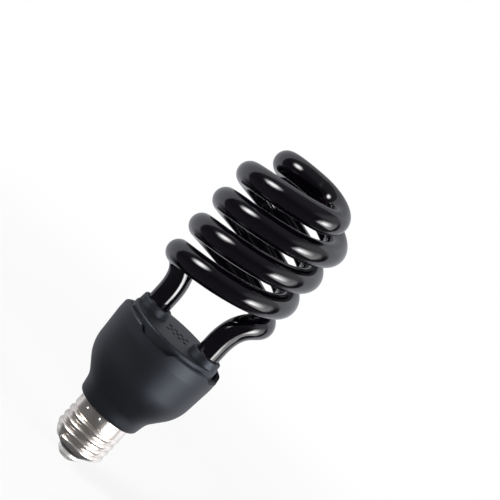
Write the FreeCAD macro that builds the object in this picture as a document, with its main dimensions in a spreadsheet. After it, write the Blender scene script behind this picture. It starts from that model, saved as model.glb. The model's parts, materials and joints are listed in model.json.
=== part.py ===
"""Black light lamp: a screw-in compact fluorescent lamp with a half spiral of black glass.

Millimetres. The lamp stands on its cap: the origin is the lowest point of the centre
contact, and +Z runs along the lamp's axis to the top of the spiral. The front is -Y.
"""
import FreeCAD, Part
import math
import os
import re
import Sketcher
from FreeCAD import Placement, Rotation, Vector

os.makedirs("parts", exist_ok=True)
doc = FreeCAD.newDocument("black_light_lamp")

SIZES = {
    # discharge tube: two strands wound round the axis, joined at the top
    "tube_radius": 5.71,         # outside radius of the glass
    "coil_radius": 24.37,        # axis of the lamp to the middle of the glass
    "strand_rise": 15.26,        # climb of a strand in half a turn
    "coil_rise": 23.25,          # from the collars to a strand's middle at azimuth 0
    "coil_start_turn": 15.6,     # azimuth, in degrees, where a leg has become a strand
    "coil_end_turn": 656.8,      # azimuth where a strand leaves the coil for the top bend
    "crossing_rise": 6.15,       # from a strand's end to the middle of the glass on the axis
    "crossing_turn": 195.5,      # heading of the glass at the axis
    "top_pull": 13.0,            # how far the top bend keeps the heading of its two ends
    "crossing_pull": 13.8,
    "leg_spacing": 31.94,        # between the middles of the two legs
    "leg_turn": -16.4,           # azimuth of the right leg
    "leg_depth": 8.1,            # how far the legs reach below the rim
    "leg_rise": 5.5,             # from the collars to where a leg starts to lean out to the coil
    "leg_pull": 18.2,            # how far the leg's bend keeps the heading of its two ends
    "coil_pull": 10.9,
    "seal_round": 2.5,           # rounding of the closed ends of the glass
    # screw cap
    "shell_bottom": 6.4,
    "cap_length": 21.5,          # screw shell, from end to end
    "shell_wall": 0.5,
    "band_depth": 0.25,          # from the thread's crest in to the smooth band above it
    "band_length": 5.9,
    "band_slope": 1.0,           # height of the step from the band in to the thread's root
    "thread_depth": 1.0,
    "crest_radius": 13.2,
    "shoulder_rise": 2.6,
    "shoulder_round": 2.0,
    "rim_tuck": 1.8,             # from the thread's root in to the rolled lower edge
    "thread_pitch": 3.629,       # seven threads to the inch
    "thread_lead": 0.6,          # middle of the ridge's first turn, below the shoulder
    "thread_runout": 0.4,        # middle of its last turn, below the band's step
    "thread_start_turn": -120,
    "ridge_width": 2.9,
    "punch_count": 10,           # marks that hold the shell on the housing
    "punch_turn": -86,
    "punch_drop": 1.6,
    "punch_radius": 0.9,
    "punch_depth": 0.3,
    # glass insulator and centre contact
    "contact_tip_radius": 3.4,
    "contact_radius": 5.9,
    "contact_height": 3.7,
    "contact_round": 0.8,
    "insulator_depth": 3.6,      # of the glass inside the shell
    "wire_hole_radius": 1.3,
    "glass_clearance": 0.1,
    # lower shell
    "neck_lip": 2.5,             # from the shell's band out to the neck
    "waist_flare": 1.45,
    "waist_rise": 7.6,
    "belly_rise": 11.5,
    "belly_tuck": 1.45,
    "bowl_depth": 25.1,          # from the belly up to the rim
    "slope_end": 6.6,            # from the rim down to where the slope of the wall ends
    "shell_outer_radius": 26.8,
    "neck_round": 2.2,
    "waist_round": 10.0,
    "belly_round": 20.0,
    "rim_round": 1.2,
    "housing_wall": 1.9,
    "rim_wall": 1.7,
    "cover_seat_depth": 3.1,     # from the rim down to the cover's seat
    "cover_seat_width": 2.4,
    "board_seat_width": 0.9,
    "spigot_clearance": 0.1,
    "spigot_wall": 1.6,
    "spigot_length": 5.2,
    # notches of the rim
    "notch_turn": -100.7,
    "notch_half_width_top": 10.6,
    "notch_half_width_bottom": 7.4,
    "notch_depth": 2.6,
    # top cover
    "cover_gap": 1.5,            # groove between the cover and the rim
    "cover_wall": 1.6,
    "cover_rise": 1.9,           # above the rim
    "cover_round": 0.9,
    "collar_wall": 1.15,
    "collar_flare": 0.4,
    "collar_rise": 3.6,
    "collar_round": 0.6,
    "collar_bore_gap": 0.55,     # between the glass and the collar, filled with cement
    "vent_radius": 1.15,
    "vent_spacing": 3.2,
    "vent_row_spacing": 3.9,
    "cement_gap": 0.03,
    # circuit board and what it carries
    "board_depth": 15.1,         # from the rim down to the underside of the board
    "board_thickness": 1.6,
    "board_clearance": 0.2,
    "lead_radius": 0.35,
    "lead_half_spacing": 1.5,
    "pin_height": 3.0,
    "pin_side": 0.8,
    "reservoir_radius": 6.5,     # large electrolytic capacitor
    "reservoir_length": 23.0,
    "can_round": 1.0,
    "core_width": 16.0,          # choke
    "core_depth": 5.0,
    "core_height": 13.0,
    "core_leg": 4.0,
    "core_back": 3.0,
    "bobbin_flange": 1.0,
    "bobbin_depth": 11.0,
    "winding_depth": 9.4,
    "ring_radius": 3.6,          # drive transformer, middle of its ring
    "ring_thick_radius": 1.5,
    "transistor_width": 8.0,
    "transistor_thickness": 3.0,
    "transistor_height": 9.0,
    "film_width": 11.0,
    "film_thickness": 4.5,
    "film_height": 9.0,
    "film_round": 0.8,
    "diode_radius": 1.35,
    "diode_length": 5.0,
    "diode_spacing": 3.6,
    "resistor_radius": 1.2,
    "resistor_length": 6.5,
    "filter_radius": 3.8,        # input filter coil
    "filter_height": 8.0,
    "thermistor_radius": 2.8,
    "thermistor_thickness": 2.0,
    "wire_radius": 0.7,
    "wire_step": 3.0,            # between a bend of a wire and the edge that it passes
}

# heights and radii that follow from the sizes
FOLLOWING = {
    "root_radius": "crest_radius - thread_depth",
    "band_radius": "crest_radius - band_depth",
    "rim_radius": "root_radius - rim_tuck",
    "ridge_round": "(ridge_width ^ 2 / 4 + thread_depth ^ 2) / (2 * thread_depth)",
    "ridge_middle": "crest_radius - ridge_round",
    "spigot_radius": "band_radius - shell_wall - spigot_clearance",
    "neck_radius": "band_radius + neck_lip",
    "waist_radius": "neck_radius + waist_flare",
    "belly_radius": "shell_outer_radius - belly_tuck",
    "rim_bore": "shell_outer_radius - rim_wall",
    "seat_bore": "rim_bore - cover_seat_width",
    "board_radius": "seat_bore - board_clearance",
    "cover_radius": "rim_bore - cover_gap",
    "bore_radius": "tube_radius + collar_bore_gap",
    "collar_radius": "bore_radius + collar_wall",
    "collar_foot_radius": "collar_radius + collar_flare",
    "leg_x": "leg_spacing / 2 * cos(leg_turn)",
    "leg_y": "leg_spacing / 2 * sin(leg_turn)",
    "shell_top": "shell_bottom + cap_length",
    "band_bottom": "shell_top - band_length",
    "root_top": "band_bottom - band_slope",
    "shoulder_height": "shell_bottom + shoulder_rise",
    "thread_bottom": "shoulder_height - thread_lead",
    "thread_top": "root_top - thread_runout",
    "punch_height": "shell_top - punch_drop",
    "insulator_top": "shell_bottom + insulator_depth",
    "spigot_bottom": "shell_top - spigot_length",
    "waist_height": "shell_top + waist_rise",
    "belly_height": "waist_height + belly_rise",
    "rim_height": "belly_height + bowl_depth",
    "band_height": "rim_height - slope_end",
    "cover_seat_height": "rim_height - cover_seat_depth",
    "notch_floor": "rim_height - notch_depth",
    "cover_height": "rim_height + cover_rise",
    "collar_height": "cover_height + collar_rise",
    "board_bottom": "rim_height - board_depth",
    "board_top": "board_bottom + board_thickness",
    "leg_bottom": "rim_height - leg_depth",
    "leg_straight_top": "collar_height + leg_rise",
    "coil_start_height": "collar_height + coil_rise",
    "crossing_height": "coil_start_height + strand_rise * coil_end_turn / 180 + crossing_rise",
}

sizes = doc.addObject("Spreadsheet::Sheet", "sizes")
for row, (alias, value) in enumerate(SIZES.items(), 1):
    sizes.set(f"A{row}", alias)
    sizes.set(f"B{row}", str(value))
    sizes.setAlias(f"B{row}", alias)
doc.recompute()

# where the parts on the circuit board stand, seen from above, in radii of the board
PLACES = {
    "reservoir": (0.1, -0.2),
    "choke": (0.25, 0.5),
    "transformer": (-0.6, -0.13),
    "transistor_front": (0.77, -0.03),
    "transistor_rear": (0.58, -0.15),
    "start_capacitor": (-0.35, 0.5),
    "coupling_capacitor": (0.17, -0.7),
    "filter_coil": (-0.37, -0.64),
    "thermistor": (0.68, 0.3),
    "fuse": (-0.25, 0.1),
    "shell_wire": (0.45, 0.14),
    "diodes": (0, -0.53),
    "resistors": (0, 0.53),
}

NOTCHES = 4


def rule(text):
    """A formula in the names of the sizes, as an expression on the sheet."""
    def cell(word):
        name = word.group()
        if name in FOLLOWING:
            return f"({rule(FOLLOWING[name])})"
        return "sizes." + name if name in SIZES else name
    return re.sub(r"[a-z]\w+", cell, str(text))


def measure(text):
    """What a formula in the names of the sizes comes to."""
    return float(sizes.evalExpression(rule(text)))


def bind(thing, **formulas):
    for name, formula in formulas.items():
        thing.setExpression(name, rule(formula))
    return thing


def put(thing, x=0, y=0, z=0):
    for axis, formula in zip("xyz", (x, y, z)):
        thing.setExpression("Placement.Base." + axis, rule(formula))
    return thing


def cylinder(name, radius, height, x=0, y=0, z=0):
    return put(bind(doc.addObject("Part::Cylinder", name), Radius=radius, Height=height), x, y, z)


def box(name, width, depth, height, x=0, y=0, z=0):
    """A block whose middle stands at x and y, with its underside at z."""
    block = bind(doc.addObject("Part::Box", name), Length=width, Width=depth, Height=height)
    return put(block, f"{x} - ({width}) / 2", f"{y} - ({depth}) / 2", z)


def torus(name, radius, thick_radius):
    return bind(doc.addObject("Part::Torus", name), Radius1=radius, Radius2=thick_radius)


def fuse(name, *things):
    joined = doc.addObject("Part::MultiFuse", name)
    joined.Shapes = list(things)
    return joined


def cut(name, base, *tools):
    tool = tools[0] if len(tools) == 1 else fuse(name + "_tools", *tools)
    rest = doc.addObject("Part::Cut", name)
    rest.Base, rest.Tool = base, tool
    return rest


def rounded(name, base, radius, chosen):
    """A solid with the edges that the test chooses rounded off."""
    doc.recompute()
    size = measure(radius)
    soft = doc.addObject("Part::Fillet", name)
    soft.Base = base
    soft.Edges = [(index, size, size) for index, edge in enumerate(base.Shape.Edges, 1) if chosen(edge)]
    return soft


def origin_feature(body, role):
    return next(item for item in body.Origin.OriginFeatures if item.Role == role)


def outline(body, name, corners, turn=0):
    """A closed sketch of straight lines on the upright plane through the axis, turned about it.

    Each corner is a pair of formulas: how far out from the axis, and how high.
    """
    sketch = body.newObject("Sketcher::SketchObject", name)
    sketch.AttachmentSupport = [(origin_feature(body, "XZ_Plane"), "")]
    sketch.MapMode = "FlatFace"
    sketch.AttachmentOffset = Placement(Vector(), Rotation(Vector(0, 1, 0), turn))
    count = len(corners)
    spots = [Vector(20 + 9 * math.cos(2 * math.pi * k / count), 20 + 9 * math.sin(2 * math.pi * k / count), 0)
             for k in range(count)]
    sketch.addGeometry([Part.LineSegment(spots[k], spots[(k + 1) % count]) for k in range(count)])
    rules, formulas = [Sketcher.Constraint("Coincident", k, 2, (k + 1) % count, 1) for k in range(count)], {}
    for k, corner in enumerate(corners):
        for kind, axis, start, formula in zip(("DistanceX", "DistanceY"), (-2, -1), (20, 20), corner):
            if str(formula) == "0":
                rules.append(Sketcher.Constraint("PointOnObject", k, 1, axis))
            else:
                formulas[len(rules)] = formula
                rules.append(Sketcher.Constraint(kind, -1, 1, k, 1, start))
    sketch.addConstraint(rules)
    for index, formula in formulas.items():
        sketch.setExpression(f"Constraints[{index}]", rule(formula))
    return sketch


def turned(name, corners, rounds=None):
    """A body turned from an outline, with the corners in rounds, by number, rounded off."""
    body = doc.addObject("PartDesign::Body", name)
    sketch = outline(body, name + "_outline", corners)
    turn = body.newObject("PartDesign::Revolution", name + "_turn")
    turn.Profile = sketch
    turn.ReferenceAxis = (sketch, ["V_Axis"])
    turn.Angle = 360
    for corner, radius in (rounds or {}).items():
        doc.recompute()
        spot, last = sketch.getPoint(corner, 1), body.Tip
        edge = circle_edge(last.Shape, spot.x, spot.y)
        rounded = body.newObject("PartDesign::Fillet", f"{name}_round_{corner}")
        rounded.Base = (last, [edge])
        bind(rounded, Radius=radius)
    return body


def circle_edge(shape, radius, height):
    """The name of a shape's round edge of that radius, at that height."""
    for index, edge in enumerate(shape.Edges, 1):
        circle = edge.Curve
        if circle.TypeId == "Part::GeomCircle" and abs(circle.Radius - radius) < 1e-3:
            if abs(circle.Center.z - height) < 1e-3:
                return f"Edge{index}"
    raise ValueError(f"no round edge of radius {radius:.3f} at {height:.3f}")


def cross(name, corners, reach):
    """Four arms square to each other, each with this upright outline."""
    body = doc.addObject("PartDesign::Body", name)
    sketch = outline(body, name + "_outline", corners, sizes.notch_turn + 90)
    arm = body.newObject("PartDesign::Pad", name + "_arm")
    arm.Profile = sketch
    bind(arm, Length=reach)
    arms = body.newObject("PartDesign::PolarPattern", name + "_arms")
    arms.Originals = [arm]
    arms.Axis = (origin_feature(body, "Z_Axis"), [""])
    arms.Angle = 360
    arms.Occurrences = NOTCHES
    body.Tip = arms
    return body


def keep(piece, label):
    """Marks an object as a sub-part and gives it its file's name."""
    piece.Label = label
    PIECES.append(piece)
    return piece


PIECES = []


# discharge tube
def strand_point(turn, radius, height):
    angle = math.radians(turn)
    return Vector(radius * math.cos(angle), radius * math.sin(angle), height)


def strand_heading(turn):
    """The direction in which a strand climbs at an azimuth."""
    angle = math.radians(turn)
    along = sizes.coil_radius * math.pi
    return Vector(-along * math.sin(angle), along * math.cos(angle), sizes.strand_rise).normalize()


def bend(start, heading, end, arrival, start_pull, end_pull):
    """A smooth bend between two points that leaves along one direction and arrives along the other."""
    curve = Part.BezierCurve()
    curve.setPoles([start, start + heading * start_pull, end - arrival * end_pull, end])
    return curve.toShape()


def half_path():
    """The middle line of half the tube: up the right leg, round the coil and in to the axis."""
    s = sizes
    climb = s.strand_rise / 180
    middle = s.leg_spacing / 2
    foot = strand_point(s.leg_turn, middle, measure("leg_bottom"))
    knee = strand_point(s.leg_turn, middle, measure("leg_straight_top"))
    base = measure("coil_start_height")
    start = strand_point(s.coil_start_turn, s.coil_radius, base + climb * s.coil_start_turn)
    end = strand_point(s.coil_end_turn, s.coil_radius, base + climb * s.coil_end_turn)
    coil = Part.makeHelix(2 * s.strand_rise, end.z - start.z, s.coil_radius)
    coil.Placement = Placement(Vector(0, 0, start.z), Rotation(Vector(0, 0, 1), s.coil_start_turn))
    crossing = Vector(0, 0, measure("crossing_height"))
    across = strand_point(s.crossing_turn, 1, 0)
    up = Vector(0, 0, 1)
    leg_bend = bend(knee, up, start, strand_heading(s.coil_start_turn), s.leg_pull, s.coil_pull)
    top_bend = bend(end, strand_heading(s.coil_end_turn), crossing, across, s.top_pull, s.crossing_pull)
    return [Part.makeLine(foot, knee), leg_bend, *coil.Edges, top_bend]


def discharge_tube():
    """The two halves are the same half path, one turned half round the axis."""
    path = doc.addObject("Part::Feature", "half_path")
    path.Shape = Part.Wire(half_path())
    section = bind(doc.addObject("Part::Circle", "tube_section"), Radius="tube_radius")
    put(section, "leg_x", "leg_y", "leg_bottom")
    half = doc.addObject("Part::Sweep", "half_tube")
    half.Sections, half.Spine = [section], (path, [])
    half.Solid, half.Frenet = True, False
    doc.recompute()
    other = doc.addObject("Part::Feature", "other_half_tube")
    other.Shape = half.Shape
    other.Placement = Placement(Vector(), Rotation(Vector(0, 0, 1), 180))
    whole = fuse("whole_tube", half, other)
    whole.Refine = True
    return rounded("sealed_tube", whole, "seal_round",
                   lambda edge: edge.BoundBox.ZMax < measure("leg_bottom") + 1e-3)


# screw cap
def thread_ridge():
    """A round bar wound on the shell's core, with rounded ends; what shows of it is the ridge."""
    turn = doc.addObject("Part::Helix", "thread_line")
    bind(turn, Pitch="thread_pitch", Height="thread_top - thread_bottom", Radius="ridge_middle")
    turn.Placement.Rotation = Rotation(Vector(0, 0, 1), sizes.thread_start_turn)
    put(turn, z="thread_bottom")
    section = bind(doc.addObject("Part::Circle", "ridge_section"), Radius="ridge_round")
    slope = math.degrees(math.atan(sizes.thread_pitch / (2 * math.pi * sizes.crest_radius)))
    around = Rotation(Vector(0, 0, 1), sizes.thread_start_turn)
    section.Placement.Rotation = around * Rotation(Vector(1, 0, 0), 90 + slope)
    put(section, "ridge_middle * cos(thread_start_turn)", "ridge_middle * sin(thread_start_turn)",
        "thread_bottom")
    ridge = doc.addObject("Part::Sweep", "ridge")
    ridge.Sections, ridge.Spine = [section], (turn, [])
    ridge.Solid, ridge.Frenet = True, True
    ends = []
    for name, height in (("lower", "thread_bottom"), ("upper", "thread_top")):
        angle = f"thread_start_turn + 360 * ({height} - thread_bottom) / thread_pitch"
        ball = bind(doc.addObject("Part::Sphere", name + "_ridge_end"), Radius="ridge_round")
        ends.append(put(ball, f"ridge_middle * cos({angle})", f"ridge_middle * sin({angle})", height))
    return ridge, ends


def punch_marks():
    """Shallow hollows round the band, one of them in front."""
    ball = "((punch_radius ^ 2 + punch_depth ^ 2) / (2 * punch_depth))"
    out = f"(band_radius - punch_depth + {ball})"
    marks = []
    for number in range(int(sizes.punch_count)):
        mark = bind(doc.addObject("Part::Sphere", f"punch_{number}"), Radius=ball)
        angle = f"({number} * 360 / punch_count + punch_turn)"
        marks.append(put(mark, f"{out} * cos{angle}", f"{out} * sin{angle}", "punch_height"))
    return fuse("punch_marks", *marks)


def screw_shell():
    core = turned("shell_core", [
        ("0", "shell_bottom"),
        ("rim_radius", "shell_bottom"),
        ("root_radius", "shoulder_height"),
        ("root_radius", "root_top"),
        ("band_radius", "band_bottom"),
        ("band_radius", "shell_top"),
        ("0", "shell_top"),
    ], {2: "shoulder_round"})
    inside = turned("shell_inside", [
        ("0", "shell_bottom"),
        ("rim_radius - shell_wall", "shell_bottom"),
        ("root_radius - shell_wall", "shoulder_height + shell_wall / 4"),
        ("root_radius - shell_wall", "root_top"),
        ("band_radius - shell_wall", "band_bottom + shell_wall / 4"),
        ("band_radius - shell_wall", "shell_top"),
        ("0", "shell_top"),
    ])
    ridge, ends = thread_ridge()
    return cut("threaded_shell", fuse("core_and_ridge", core, ridge, *ends), inside, punch_marks())


def cap_insulator():
    return turned("insulator_turned", [
        ("wire_hole_radius", "contact_height"),
        ("contact_radius + glass_clearance", "contact_height"),
        ("rim_radius - shell_wall - glass_clearance", "shell_bottom"),
        ("root_radius - shell_wall - glass_clearance", "shoulder_height + 2 * glass_clearance"),
        ("root_radius - shell_wall - glass_clearance", "insulator_top"),
        ("wire_hole_radius", "insulator_top"),
    ])


def centre_contact():
    return turned("contact_turned", [
        ("0", "0"),
        ("contact_tip_radius", "0"),
        ("contact_radius", "contact_height * 0.55"),
        ("contact_radius", "contact_height"),
        ("0", "contact_height"),
    ], {1: "contact_round", 2: "contact_round"})


# housing
def lower_shell():
    bowl = turned("bowl", [
        ("spigot_radius", "spigot_bottom"),
        ("spigot_radius", "shell_top"),
        ("neck_radius", "shell_top"),
        ("waist_radius", "waist_height"),
        ("belly_radius", "belly_height"),
        ("shell_outer_radius", "band_height"),
        ("shell_outer_radius", "rim_height"),
        ("rim_bore", "rim_height"),
        ("rim_bore", "cover_seat_height"),
        ("seat_bore", "cover_seat_height"),
        ("seat_bore", "board_bottom"),
        ("seat_bore - board_seat_width", "board_bottom"),
        ("seat_bore - board_seat_width", "belly_height"),
        ("waist_radius - 1.1 * housing_wall", "waist_height + 0.3 * housing_wall"),
        ("neck_radius - housing_wall", "shell_top + 1.2 * housing_wall"),
        ("spigot_radius - spigot_wall", "shell_top + 1.2 * housing_wall"),
        ("spigot_radius - spigot_wall", "spigot_bottom"),
    ], {2: "neck_round", 3: "waist_round", 4: "belly_round", 6: "rim_round"})
    notches = cross("notches", [
        ("-notch_half_width_bottom", "notch_floor"),
        ("notch_half_width_bottom", "notch_floor"),
        ("notch_half_width_top", "rim_height"),
        ("notch_half_width_top", "rim_height + rim_wall"),
        ("-notch_half_width_top", "rim_height + rim_wall"),
        ("-notch_half_width_top", "rim_height"),
    ], "shell_outer_radius + rim_wall")
    return cut("notched_bowl", bowl, notches)


def top_cover():
    lid = turned("lid", [
        ("cover_radius", "cover_seat_height"),
        ("cover_radius", "cover_height"),
        ("0", "cover_height"),
        ("0", "cover_height - cover_wall"),
        ("cover_radius - cover_wall", "cover_height - cover_wall"),
        ("cover_radius - cover_wall", "cover_seat_height"),
    ], {1: "cover_round"})
    collars, bores = [], []
    for side, sign in (("right", ""), ("left", "-")):
        x, y = f"{sign}leg_x", f"{sign}leg_y"
        collar = bind(doc.addObject("Part::Cone", side + "_collar"), Radius1="collar_foot_radius",
                      Radius2="collar_radius", Height="collar_height - cover_height + cover_wall / 2")
        collars.append(put(collar, x, y, "cover_height - cover_wall / 2"))
        bores.append(cylinder(side + "_bore", "bore_radius", "collar_height", x, y))
    body = fuse("cover_and_collars", lid, *collars)
    soft = rounded("rounded_collars", body, "collar_round",
                   lambda edge: edge.BoundBox.ZMin > measure("collar_height") - 1e-3)
    return cut("bored_cover", soft, *bores, vents())


def vents():
    """Three staggered rows of round holes through the top, between the collars."""
    holes = []
    for row, columns in ((-1, (-1.5, -0.5, 0.5, 1.5)), (0, (-1, 0, 1)), (1, (-1.5, -0.5, 0.5, 1.5))):
        for column in columns:
            holes.append(cylinder(f"vent_{len(holes)}", "vent_radius", "cover_wall * 3",
                                  f"{column} * vent_spacing", f"{row} * vent_row_spacing",
                                  "cover_height - cover_wall * 2"))
    return fuse("vents", *holes)


def cement(side, sign):
    x, y, base = f"{sign}leg_x", f"{sign}leg_y", "cover_height - cover_wall"
    height = "collar_height - cover_height + cover_wall - collar_round"
    plug = cylinder(side + "_plug", "bore_radius - cement_gap", height, x, y, base)
    hole = cylinder(side + "_hole", "tube_radius + cement_gap", "rim_height", x, y, base)
    return cut(side + "_ring", plug, hole)


# circuit board
def terminal(kind, name, height, base):
    """The four posts, or the lead wires of one leg, that join the tube to the board."""
    solids = []
    sides = {"right": ("",), "left": ("-",), "both": ("", "-")}[name]
    for sign in sides:
        for step in ("-", "+"):
            x, y = f"{sign}leg_x {step} lead_half_spacing", f"{sign}leg_y"
            label = f"{kind}_{name}_{len(solids)}"
            if kind == "pin":
                solids.append(box(label, "pin_side", "pin_side", height, x, y, base))
            else:
                solids.append(cylinder(label, "lead_radius", height, x, y, base))
    return fuse(f"{kind}_{name}", *solids)


def place(name):
    """Where a part of the board stands, as two formulas."""
    return [f"{share} * board_radius" for share in PLACES[name]]


def under_board(height):
    return f"board_bottom - ({height})"


def reservoir():
    can = turned("can", [
        ("0", "0"),
        ("reservoir_radius", "0"),
        ("reservoir_radius", "reservoir_length * 0.86"),
        ("reservoir_radius * 0.92", "reservoir_length * 0.88"),
        ("reservoir_radius", "reservoir_length * 0.9"),
        ("reservoir_radius", "reservoir_length"),
        ("0", "reservoir_length"),
    ], {1: "can_round"})
    return put(can, *place("reservoir"), under_board("reservoir_length"))


def choke():
    """A ferrite core with two windows, a bobbin on its middle leg and the wire wound on it."""
    x, y = place("choke")
    window = "((core_width - core_leg) / 2 - core_back)"
    inner = "core_height - 2 * core_back"
    base = under_board("core_height")
    floor = f"{base} + core_back"
    block = box("core_block", "core_width", "core_depth", "core_height", x, y, base)
    windows = [box(f"window_{side}", window, "core_depth * 2", inner,
                   f"{x} {sign} (core_leg + {window}) / 2", y, floor)
               for side, sign in (("left", "-"), ("right", "+"))]
    core = cut("choke_core_cut", block, *windows)
    spare = "4 * glass_clearance"
    hole = box("leg_hole", f"core_leg + {spare} / 2", f"core_depth + {spare} / 2", "core_height", x, y, base)
    wide = f"core_leg + 2 * {window} - {spare}"
    flange = f"{inner} - {spare}"
    spool = fuse("spool",
                 box("flange_low", wide, "bobbin_depth", "bobbin_flange", x, y, f"{floor} + {spare} / 2"),
                 box("flange_high", wide, "bobbin_depth", "bobbin_flange", x, y,
                     f"{floor} + {inner} - {spare} / 2 - bobbin_flange"),
                 box("barrel", "core_leg + bobbin_flange", "core_depth + bobbin_flange", flange, x, y,
                     f"{floor} + {spare} / 2"))
    bobbin = cut("bobbin_cut", spool, hole)
    coil = box("wound", f"{wide} - {spare}", "winding_depth", f"{flange} - 2 * bobbin_flange", x, y,
               f"{floor} + {spare} / 2 + bobbin_flange")
    soft = rounded("wound_round", coil, "bobbin_flange", lambda edge: edge.BoundBox.ZLength > 1)
    barrel_hole = box("barrel_hole", "core_leg + bobbin_flange", "core_depth + bobbin_flange", "core_height",
                      x, y, base)
    return core, bobbin, cut("winding_cut", soft, barrel_hole)


def drive_transformer():
    x, y = place("transformer")
    loop_radius = "(ring_thick_radius + wire_radius / 2 + glass_clearance / 2)"
    height = f"board_bottom - {loop_radius} - wire_radius / 2"
    ring = put(torus("ferrite_ring", "ring_radius", "ring_thick_radius"), x, y, height)
    loops = []
    for number, angle in enumerate((-20, 0, 20, 100, 120, 140, 220, 240, 260)):
        loop = torus(f"loop_{number}", loop_radius, "wire_radius / 2")
        loop.Placement.Rotation = Rotation(Vector(0, 0, 1), angle) * Rotation(Vector(1, 0, 0), 90)
        loops.append(put(loop, f"{x} + ring_radius * cos({angle})", f"{y} + ring_radius * sin({angle})",
                         height))
    return ring, fuse("ring_loops", *loops)


def transistor(name):
    x, y = place(name)
    base = under_board("transistor_height")
    block = box(name + "_block", "transistor_thickness", "transistor_width", "transistor_height", x, y, base)
    hole = cylinder(name + "_hole", "transistor_thickness / 2", "transistor_thickness * 2",
                    f"{x} - transistor_thickness", y, f"{base} + transistor_thickness")
    hole.Placement.Rotation = Rotation(Vector(0, 1, 0), 90)
    return cut(name + "_cut", block, hole)


def film_capacitor(name, across):
    x, y = place(name)
    sides = ("film_thickness", "film_width") if across else ("film_width", "film_thickness")
    block = box(name + "_block", *sides, "film_height", x, y, under_board("film_height"))
    return rounded(name + "_round", block, "film_round",
                   lambda edge: edge.BoundBox.ZMin < measure("board_bottom") - 1e-3)


def filter_coil():
    spool = turned("drum", [
        ("0", "0"),
        ("filter_radius", "0"),
        ("filter_radius", "filter_height * 0.15"),
        ("filter_radius * 0.85", "filter_height * 0.2"),
        ("filter_radius * 0.85", "filter_height * 0.8"),
        ("filter_radius", "filter_height * 0.85"),
        ("filter_radius", "filter_height"),
        ("0", "filter_height"),
    ])
    return put(spool, *place("filter_coil"), under_board("filter_height"))


def lying(name, radius, length, x, y, z):
    """A small round part that lies along Y, with its middle at x and y."""
    piece = cylinder(name, radius, length, x, f"{y} + ({length}) / 2", z)
    piece.Placement.Rotation = Rotation(Vector(1, 0, 0), 90)
    return piece


def row_of(name, count, radius, length, spacing):
    x, y = place(name)
    row = [lying(f"{name}_{number}", radius, length, f"{x} + ({number - (count - 1) / 2}) * {spacing}", y,
                 f"board_top + {radius}") for number in range(count)]
    return fuse(name + "_row", *row)


def thermistor():
    x, y = place("thermistor")
    return lying("thermistor_disc", "thermistor_radius", "thermistor_thickness", x, y,
                 under_board("thermistor_radius"))


def wire(name, points):
    """A wire along straight runs joined by tangent arcs, as large as the runs allow."""
    spots = [Vector(*(measure(formula) for formula in point)) for point in points]
    path, last = [], spots[0]
    for before, corner, after in zip(spots, spots[1:], spots[2:]):
        back, ahead = (before - corner).normalize(), (after - corner).normalize()
        trim = 0.45 * min((before - corner).Length, (after - corner).Length)
        start, end = corner + back * trim, corner + ahead * trim
        half_turn = (math.pi - back.getAngle(ahead)) / 2
        radius = trim / math.tan(half_turn)
        bisector = (back + ahead).normalize()
        middle = corner + bisector * (radius / math.cos(half_turn) - radius)
        path += [Part.makeLine(last, start), Part.Arc(start, middle, end).toShape()]
        last = end
    path.append(Part.makeLine(last, spots[-1]))
    section = Part.Wire(Part.makeCircle(sizes.wire_radius, spots[0], spots[1] - spots[0]))
    piece = doc.addObject("Part::Feature", name)
    piece.Shape = Part.Wire(path).makePipeShell([section], True, False)
    return piece


def contact_wire():
    x, y = place("fuse")
    fuse_end = "board_bottom - resistor_length"
    return wire("contact_lead", [(0, 0, "contact_height"), (0, 0, "spigot_bottom - wire_step"),
                                 (x, y, "shell_top"), (x, y, fuse_end)])


def shell_wire():
    seat = "root_radius - shell_wall - wire_radius - glass_clearance"
    inner = "spigot_radius - spigot_wall - 2 * wire_radius"
    x, y = place("shell_wire")
    return wire("shell_lead", [(seat, 0, "root_top - 2 * wire_step"), (seat, 0, "root_top - wire_step / 2"),
                               (inner, 0, "spigot_bottom + wire_step / 2"),
                               (inner, 0, "shell_top + wire_step"), (x, y, "waist_height + wire_step"),
                               (x, y, "board_bottom")])


def build():
    keep(discharge_tube(), "discharge_tube")
    keep(screw_shell(), "screw_shell")
    keep(cap_insulator(), "cap_insulator")
    keep(centre_contact(), "centre_contact")
    keep(lower_shell(), "lower_shell")
    keep(top_cover(), "top_cover")
    keep(cement("right", ""), "right_leg_cement")
    keep(cement("left", "-"), "left_leg_cement")
    keep(cylinder("board", "board_radius", "board_thickness", z="board_bottom"), "circuit_board")
    keep(terminal("pin", "both", "pin_height", "board_top"), "terminal_pins")
    for side in ("right", "left"):
        keep(terminal("lead", side, "leg_bottom - board_top - pin_height", "board_top + pin_height"),
             side + "_tube_leads")
    keep(reservoir(), "reservoir_capacitor")
    for piece, label in zip(choke(), ("choke_core", "choke_bobbin", "choke_winding")):
        keep(piece, label)
    for piece, label in zip(drive_transformer(), ("transformer_ring", "transformer_winding")):
        keep(piece, label)
    keep(transistor("transistor_front"), "front_transistor")
    keep(transistor("transistor_rear"), "rear_transistor")
    keep(film_capacitor("start_capacitor", True), "start_capacitor")
    keep(film_capacitor("coupling_capacitor", False), "coupling_capacitor")
    keep(filter_coil(), "filter_coil")
    keep(row_of("diodes", 4, "diode_radius", "diode_length", "diode_spacing"), "rectifier_diodes")
    keep(row_of("resistors", 3, "resistor_radius", "resistor_length", "diode_spacing"), "resistors")
    keep(thermistor(), "thermistor")
    keep(cylinder("fuse_body", "resistor_radius", "resistor_length", *place("fuse"),
                  under_board("resistor_length")), "fuse_resistor")
    keep(contact_wire(), "contact_wire")
    keep(shell_wire(), "shell_wire")


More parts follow.
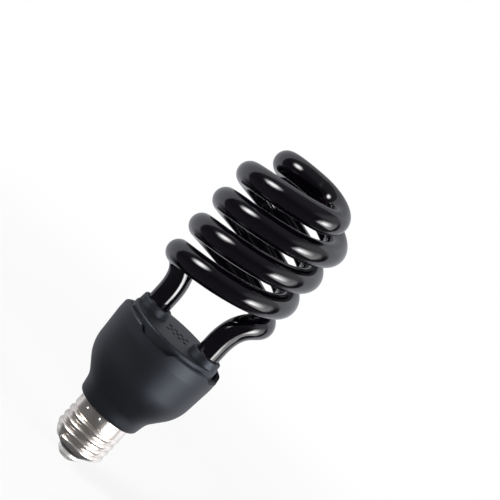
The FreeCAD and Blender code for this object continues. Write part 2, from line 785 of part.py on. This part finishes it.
build()
doc.recompute()
for item in doc.Objects:
    if {"Invalid", "Error"} & set(item.State):
        raise RuntimeError(f"{item.Name} failed: {item.State}")
for piece in PIECES:
    if piece.Shape.isNull() or not piece.Shape.isValid():
        raise RuntimeError(f"{piece.Label} has no valid shape")
for piece in PIECES:
    piece.Shape.exportStep(f"parts/{piece.Label}.step")
    print(f"{piece.Label}: {len(piece.Shape.Solids)} solid, {piece.Shape.Volume:.1f} mm3")
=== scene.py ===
import json
import math

import bmesh
import bpy
from mathutils import Matrix, Vector


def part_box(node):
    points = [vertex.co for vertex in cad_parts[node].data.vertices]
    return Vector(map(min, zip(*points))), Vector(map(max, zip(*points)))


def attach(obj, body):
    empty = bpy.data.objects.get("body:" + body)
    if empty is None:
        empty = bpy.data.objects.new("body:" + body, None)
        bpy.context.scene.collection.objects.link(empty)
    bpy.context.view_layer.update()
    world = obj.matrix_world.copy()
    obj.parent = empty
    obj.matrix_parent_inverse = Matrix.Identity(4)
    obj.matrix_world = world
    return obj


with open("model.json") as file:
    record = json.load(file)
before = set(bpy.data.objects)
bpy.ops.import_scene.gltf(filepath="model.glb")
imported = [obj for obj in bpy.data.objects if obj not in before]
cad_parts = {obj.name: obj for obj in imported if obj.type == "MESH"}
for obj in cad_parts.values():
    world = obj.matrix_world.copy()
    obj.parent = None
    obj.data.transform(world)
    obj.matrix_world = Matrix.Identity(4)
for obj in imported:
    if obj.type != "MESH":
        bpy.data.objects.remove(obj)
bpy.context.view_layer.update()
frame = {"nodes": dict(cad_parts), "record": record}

# lengths are in metres
MM = 0.001
COIL_MIDDLE = Vector((0, 0, 0.12))
LIGHT_DISTANCE = 0.9
WHITE = (1, 1, 1, 1)

# the half section of the cement beads in mm: out from the leg's axis, and up from the cement's top
BEAD_SECTION = ((5.6, -0.6), (5.6, 0.75), (5.8, 0.5), (6.02, 0.22), (6.3, 0.06), (6.3, -0.6))
# how the beads' height varies round the leg: share of the height, number of waves, phase
BEAD_WAVES = ((0.3, 3, 0.7), (0.2, 7, 2.1), (0.12, 13, 0))


# shader maths
class Link:
    """An output of a node. Arithmetic on it adds Math nodes to the same tree."""

    def __init__(self, tree, socket=None):
        self.tree = tree
        self.socket = socket

    def node(self, kind, settings=None, inputs=None, output=0):
        """Adds a node: its settings are set first, then its sockets get values or links."""
        made = self.tree.nodes.new("ShaderNode" + kind)
        for name, value in (settings or {}).items():
            setattr(made, name, value)
        for name, value in (inputs or {}).items():
            if isinstance(value, Link):
                self.tree.links.new(value.socket, made.inputs[name])
            else:
                made.inputs[name].default_value = value
        return Link(self.tree, made.outputs[output])

    def math(self, operation, *values):
        """A Math node on these values."""
        return self.node("Math", {"operation": operation}, dict(enumerate(values)))

    def __add__(self, other):
        return self.math("ADD", self, other)

    __radd__ = __add__

    def __sub__(self, other):
        return self.math("SUBTRACT", self, other)

    def __rsub__(self, other):
        return self.math("SUBTRACT", other, self)

    def __mul__(self, other):
        return self.math("MULTIPLY", self, other)

    __rmul__ = __mul__

    def square_root(self):
        return self.math("SQRT", self)

    def or_more(self, other):
        """The larger of two values."""
        return self.math("MAXIMUM", self, other)

    def between(self, low, high):
        """0 below low and 1 above high, with a soft step between them."""
        return self.node("MapRange", {"interpolation_type": "SMOOTHSTEP"},
                         {"Value": self, "From Min": low, "From Max": high})

    def axis(self, name):
        """One coordinate of a vector."""
        return self.node("SeparateXYZ", None, {"Vector": self}, name)

    def length(self):
        """The length of a vector."""
        return self.node("VectorMath", {"operation": "LENGTH"}, {"Vector": self}, "Value")

    def stretched(self, scale):
        """Coordinates multiplied by a number for each axis."""
        return self.node("VectorMath", {"operation": "MULTIPLY"}, {0: self, 1: scale})

    def noise(self, scale, detail, roughness=0.5):
        """Smooth noise on these coordinates, from 0 to 1, with so many features a metre."""
        return self.node("TexNoise", None,
                         {"Vector": self, "Scale": scale, "Detail": detail, "Roughness": roughness})

    def blend(self, low, high):
        """A colour between two others, by this factor."""
        low_socket, high_socket, colour_result = 6, 7, 2
        return self.node("Mix", {"data_type": "RGBA"},
                         {"Factor": self, low_socket: (*low, 1), high_socket: (*high, 1)}, colour_result)

    def choose(self, off, on):
        """The shader off where this factor is 0, and the shader on where it is 1."""
        off_socket, on_socket = 1, 2
        return self.node("MixShader", None, {"Fac": self, off_socket: off, on_socket: on})


# finishes
def finish(name, **uniform):
    """A new material, the place on a piece that its pattern starts from, and its surface.

    Uniform values are set on the surface. An underscore stands for the space in a socket's name.
    """
    material = bpy.data.materials.new(name)
    material.use_nodes = True
    tree = material.node_tree
    tree.nodes.clear()
    surface = tree.nodes.new("ShaderNodeBsdfPrincipled")
    output = tree.nodes.new("ShaderNodeOutputMaterial")
    tree.links.new(surface.outputs["BSDF"], output.inputs["Surface"])
    for socket, value in uniform.items():
        surface.inputs[socket.replace("_", " ")].default_value = value
    return material, Link(tree).node("TexCoord", output="Object"), surface


def connect(surface, **links):
    """Feeds the surface's sockets, named as in finish."""
    for socket, link in links.items():
        link.tree.links.new(link.socket, surface.inputs[socket.replace("_", " ")])


def bump(surface, height, distance):
    """Raises the surface by a height from 0 to 1, as far as the distance in metres."""
    connect(surface, Normal=height.node("Bump", None, {"Height": height, "Distance": distance}))


def black_glass():
    """Glossy glass, nearly black with a touch of violet, slightly wavy and with specks of dust."""
    material, place, surface = finish("black_glass", IOR=1.47)
    dark, light = (0.001, 0.0004, 0.0013), (0.0024, 0.0012, 0.0032)
    cloud = place.noise(scale=60, detail=3)
    dust = place.noise(scale=2600, detail=2, roughness=0.7).between(0.66, 0.74)
    waves = place.noise(scale=30, detail=2)
    connect(surface, Base_Color=cloud.blend(dark, light), Roughness=0.02 + 0.03 * cloud + 0.2 * dust)
    bump(surface, waves, 0.08 * MM)
    return material


def housing_plastic():
    """Matt plastic, nearly black with a touch of blue, and with a fine grain."""
    material, place, surface = finish("housing_plastic", Specular_IOR_Level=0.45,
                                      Specular_Tint=(0.78, 0.85, 1, 1))
    dark, light = (0.0036, 0.0038, 0.0048), (0.0072, 0.0076, 0.0095)
    cloud = place.noise(scale=45, detail=3)
    grain = place.noise(scale=2400, detail=3, roughness=0.6)
    connect(surface, Base_Color=cloud.blend(dark, light), Roughness=0.42 + 0.1 * cloud + 0.08 * grain)
    bump(surface, grain, 0.02 * MM)
    return material


def nickel_plate():
    """Bright plated sheet, with fine lines round the cap from rolling, and dull, darker spots."""
    material, place, surface = finish("nickel_plate", Metallic=1.0)
    clean, dull = (0.77, 0.725, 0.68), (0.65, 0.595, 0.54)
    rolled = place.stretched((1, 1, 14)).noise(scale=160, detail=4, roughness=0.65)
    spots = place.noise(scale=420, detail=4, roughness=0.7)
    connect(surface, Base_Color=spots.between(0.35, 0.75).blend(clean, dull),
            Roughness=0.16 + 0.19 * rolled + 0.08 * spots)
    bump(surface, rolled, 0.03 * MM)
    return material


def mottled(name, colour, roughness, metallic=0.0, spread=0.25):
    """A finish whose tone varies by the spread, with a slight unevenness."""
    material, place, surface = finish(name, Metallic=metallic)
    dark = tuple(value * (1 - spread) for value in colour)
    light = tuple(min(1, value * (1 + spread)) for value in colour)
    mottle = place.noise(scale=900, detail=3)
    connect(surface, Base_Color=mottle.blend(dark, light), Roughness=roughness - 0.05 + 0.1 * mottle)
    bump(surface, mottle, 0.02 * MM)
    return material


FINISHES = {
    "black_glass": black_glass(),
    "housing_plastic": housing_plastic(),
    "nickel_plate": nickel_plate(),
    "insulator_glass": mottled("insulator_glass", (0.003, 0.003, 0.004), roughness=0.3),
    "contact_solder": mottled("contact_solder", (0.76, 0.75, 0.73), roughness=0.5, metallic=0.6, spread=0.12),
    "cement": mottled("cement", (0.012, 0.012, 0.013), roughness=0.6),
    "board_laminate": mottled("board_laminate", (0.36, 0.27, 0.14), roughness=0.5),
    "tinned_copper": mottled("tinned_copper", (0.7, 0.69, 0.66), roughness=0.3, metallic=1.0),
    "capacitor_sleeve": mottled("capacitor_sleeve", (0.02, 0.03, 0.07), roughness=0.3),
    "ferrite": mottled("ferrite", (0.05, 0.05, 0.05), roughness=0.6),
    "bobbin_plastic": mottled("bobbin_plastic", (0.75, 0.72, 0.62), roughness=0.45),
    "enamelled_wire": mottled("enamelled_wire", (0.55, 0.27, 0.1), roughness=0.3, metallic=1.0),
    "wire_cover": mottled("wire_cover", (0.6, 0.6, 0.58), roughness=0.4),
    "moulded_epoxy": mottled("moulded_epoxy", (0.03, 0.03, 0.03), roughness=0.45),
    "film_case": mottled("film_case", (0.35, 0.06, 0.03), roughness=0.3),
    "resistor_lacquer": mottled("resistor_lacquer", (0.55, 0.5, 0.36), roughness=0.35),
}

for part in frame["record"]["subparts"]:
    node = frame["nodes"][part["node"]]
    node.data.materials.clear()
    node.data.materials.append(FINISHES[part["material_slot"]])


# pieces
def cement_bead(side):
    """Uneven bonding cement that has crept up the glass where a leg leaves its collar."""
    low, high = (Vector(corner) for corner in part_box(side + "_leg_cement"))
    foot = Vector(((low.x + high.x) / 2, (low.y + high.y) / 2, high.z))
    shape = bmesh.new()
    corners = [shape.verts.new(foot + Vector((out * MM, 0, rise * MM))) for out, rise in BEAD_SECTION]
    edges = [shape.edges.new(pair) for pair in zip(corners, corners[1:] + corners[:1])]
    bmesh.ops.spin(shape, geom=corners + edges, cent=foot, axis=(0, 0, 1), angle=2 * math.pi, steps=96,
                   use_merge=True)
    for vert in shape.verts:
        rise = vert.co.z - foot.z
        if rise > 0:
            turn = math.atan2(vert.co.y - foot.y, vert.co.x - foot.x)
            swell = 1 + sum(share * math.sin(waves * turn + phase) for share, waves, phase in BEAD_WAVES)
            vert.co.z = foot.z + rise * swell
    bmesh.ops.recalc_face_normals(shape, faces=shape.faces)
    mesh = bpy.data.meshes.new(side + "_cement_bead")
    shape.to_mesh(mesh)
    shape.free()
    mesh.shade_smooth()
    mesh.materials.append(FINISHES["cement"])
    bead = bpy.data.objects.new(side + "_cement_bead", mesh)
    bpy.context.scene.collection.objects.link(bead)
    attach(bead, "root")


for side in ("right", "left"):
    cement_bead(side)


# lights, room and camera
def way_to(azimuth, elevation):
    """The way from the lamp to a place round it, in degrees.

    Azimuth 0 is in front and 90 on the right.
    """
    turn, rise = math.radians(azimuth), math.radians(elevation)
    return Vector((math.sin(turn) * math.cos(rise), -math.cos(turn) * math.cos(rise), math.sin(rise)))


def softbox(name, azimuth, elevation, width, height, glow):
    """A soft light that faces the lamp's coil.

    Its glow is a formula of the place on it: across from its left and up, each from 0 to 1.
    """
    lamp = bpy.data.lights.new(name, "AREA")
    lamp.shape = "RECTANGLE"
    lamp.size, lamp.size_y = width, height
    # at this energy, a glow of 1 is as bright as plain white
    lamp.energy = math.pi * width * height
    lamp.use_nodes = True
    tree = lamp.node_tree
    tree.nodes.clear()
    spot = Link(tree).node("NewGeometry", output="Parametric")
    shine = glow(spot.axis("X"), spot.axis("Y"))
    emission = spot.node("Emission", None, {"Color": WHITE, "Strength": shine})
    output = tree.nodes.new("ShaderNodeOutputLight")
    tree.links.new(emission.socket, output.inputs["Surface"])
    light = bpy.data.objects.new(name, lamp)
    bpy.context.scene.collection.objects.link(light)
    back = way_to(azimuth, elevation)
    light.rotation_mode = "QUATERNION"
    light.rotation_quaternion = back.to_track_quat("Z", "Y")
    light.location = COIL_MIDDLE + back * LIGHT_DISTANCE


def left_glow(across, up):
    """A round bright middle in a wider dim glow."""
    aside, above = across - 0.5, up - 0.5
    out = (aside * aside + above * above).square_root()
    middle = 22 * (1 - out.between(0, 0.42))
    glow = 4 * (1 - out.between(0.1, 0.5))
    return middle + glow


def right_glow(across, up):
    """A band that climbs to the right, sharp below and soft above, over a dim glow.

    A dim edge on the right gives the ends of the glass loops their grey.
    """
    above = up - (0.22 + 0.25 * across)
    band = above.between(-0.18, 0) * (1 - above.between(0, 0.5))
    core = 24 * band * across.between(0.06, 0.27) * (1 - across.between(0.27, 0.68))
    glow = 5 * (1 - up.between(0, 0.75)) * across.between(0, 0.3) * (1 - across.between(0.3, 1))
    edge = 3.6 * (1 - up.between(0.6, 1)) * across.between(0.1, 1) * (1 - across).between(0.05, 0.25)
    return core + glow + edge


def studio():
    """White for the camera, a faint even light on matt surfaces, and a room that reflections show."""
    world = bpy.data.worlds.new("studio")
    bpy.context.scene.world = world
    world.use_nodes = True
    tree = world.node_tree
    tree.nodes.clear()
    start = Link(tree)
    direction = start.node("TexCoord", output="Generated")
    backward, sideways, upward = direction.axis("Y"), direction.axis("X"), direction.axis("Z")
    # a backdrop that is dimmest straight behind the lamp, brighter on the right and dark underneath
    backdrop = backward.between(0.22, 0.34)
    underneath = (0 - upward).between(0.5, 0.8)
    behind = (1.4 - 0.87 * backward) * (1 + 0.6 * sideways.between(0, 0.5)) * (1 - underneath)
    # a dark room in front, with a dim ceiling, a brighter patch high on the right and a faint ground
    high_right = sideways.between(0.25, 0.6) * upward.between(0.2, 0.6)
    ceiling = upward.between(0.1, 0.9)
    ground = (0 - upward).between(0.1, 0.6)
    in_front = 0.1 + 0.2 * ceiling + 0.8 * high_right + 0.05 * ground
    room = backdrop * behind + (1 - backdrop) * in_front
    seen = start.node("Background", None, {"Color": WHITE, "Strength": 1.0})
    mirrored = start.node("Background", None, {"Color": (0.92, 0.94, 1, 1), "Strength": room})
    ambient = start.node("Background", None, {"Color": WHITE, "Strength": 0.3})
    from_camera = start.node("LightPath", output="Is Camera Ray")
    from_gloss = start.node("LightPath", output="Is Glossy Ray")
    through = start.node("LightPath", output="Is Transmission Ray")
    unseen = from_gloss.or_more(through).choose(off=ambient, on=mirrored)
    output = tree.nodes.new("ShaderNodeOutputWorld")
    tree.links.new(from_camera.choose(off=unseen, on=seen).socket, output.inputs["Surface"])


def floor():
    """A pale round floor that takes the lamp's shadow and turns white farther out.

    Reflections pass through it to the room.
    """
    mesh = bpy.data.meshes.new("floor")
    shape = bmesh.new()
    bmesh.ops.create_circle(shape, cap_ends=True, segments=64, radius=1.5)
    shape.to_mesh(mesh)
    shape.free()
    ground = bpy.data.objects.new("floor", mesh)
    bpy.context.scene.collection.objects.link(ground)
    material = bpy.data.materials.new("floor")
    material.use_nodes = True
    tree = material.node_tree
    tree.nodes.clear()
    start = Link(tree)
    far = start.node("TexCoord", output="Object").length().between(0.15, 0.45)
    pale = start.node("BsdfDiffuse", None, {"Color": (0.8, 0.8, 0.8, 1)})
    white = start.node("Emission", None, {"Color": WHITE, "Strength": 1.0})
    from_camera = start.node("LightPath", output="Is Camera Ray")
    lit = (from_camera * (0.86 + 0.14 * far)).choose(off=pale, on=white)
    clear = start.node("BsdfTransparent")
    from_gloss = start.node("LightPath", output="Is Glossy Ray")
    output = tree.nodes.new("ShaderNodeOutputMaterial")
    tree.links.new(from_gloss.choose(off=lit, on=clear).socket, output.inputs["Surface"])
    mesh.materials.append(material)


def camera():
    """At the photograph's viewing angle, rolled so that the lamp leans to the right in the picture."""
    data = bpy.data.cameras.new("camera")
    data.lens = 156.8
    data.sensor_width = 36
    data.clip_start = 0.01
    view = bpy.data.objects.new("camera", data)
    bpy.context.scene.collection.objects.link(view)
    back = way_to(azimuth=0.135, elevation=9.141)
    aim = Vector((-2.082, 0, 122.76)) * MM
    distance = 935.79 * MM
    roll = Matrix.Rotation(math.radians(42.997), 4, "Z")
    turn = back.to_track_quat("Z", "Y").to_matrix().to_4x4() @ roll
    view.matrix_world = Matrix.Translation(aim + back * distance) @ turn
    bpy.context.scene.camera = view


studio()
floor()
camera()
softbox("left_key", azimuth=-62, elevation=24, width=0.75, height=0.75, glow=left_glow)
softbox("right_key", azimuth=67, elevation=5, width=1.05, height=1.1, glow=right_glow)
bpy.context.scene.view_settings.view_transform = "Standard"
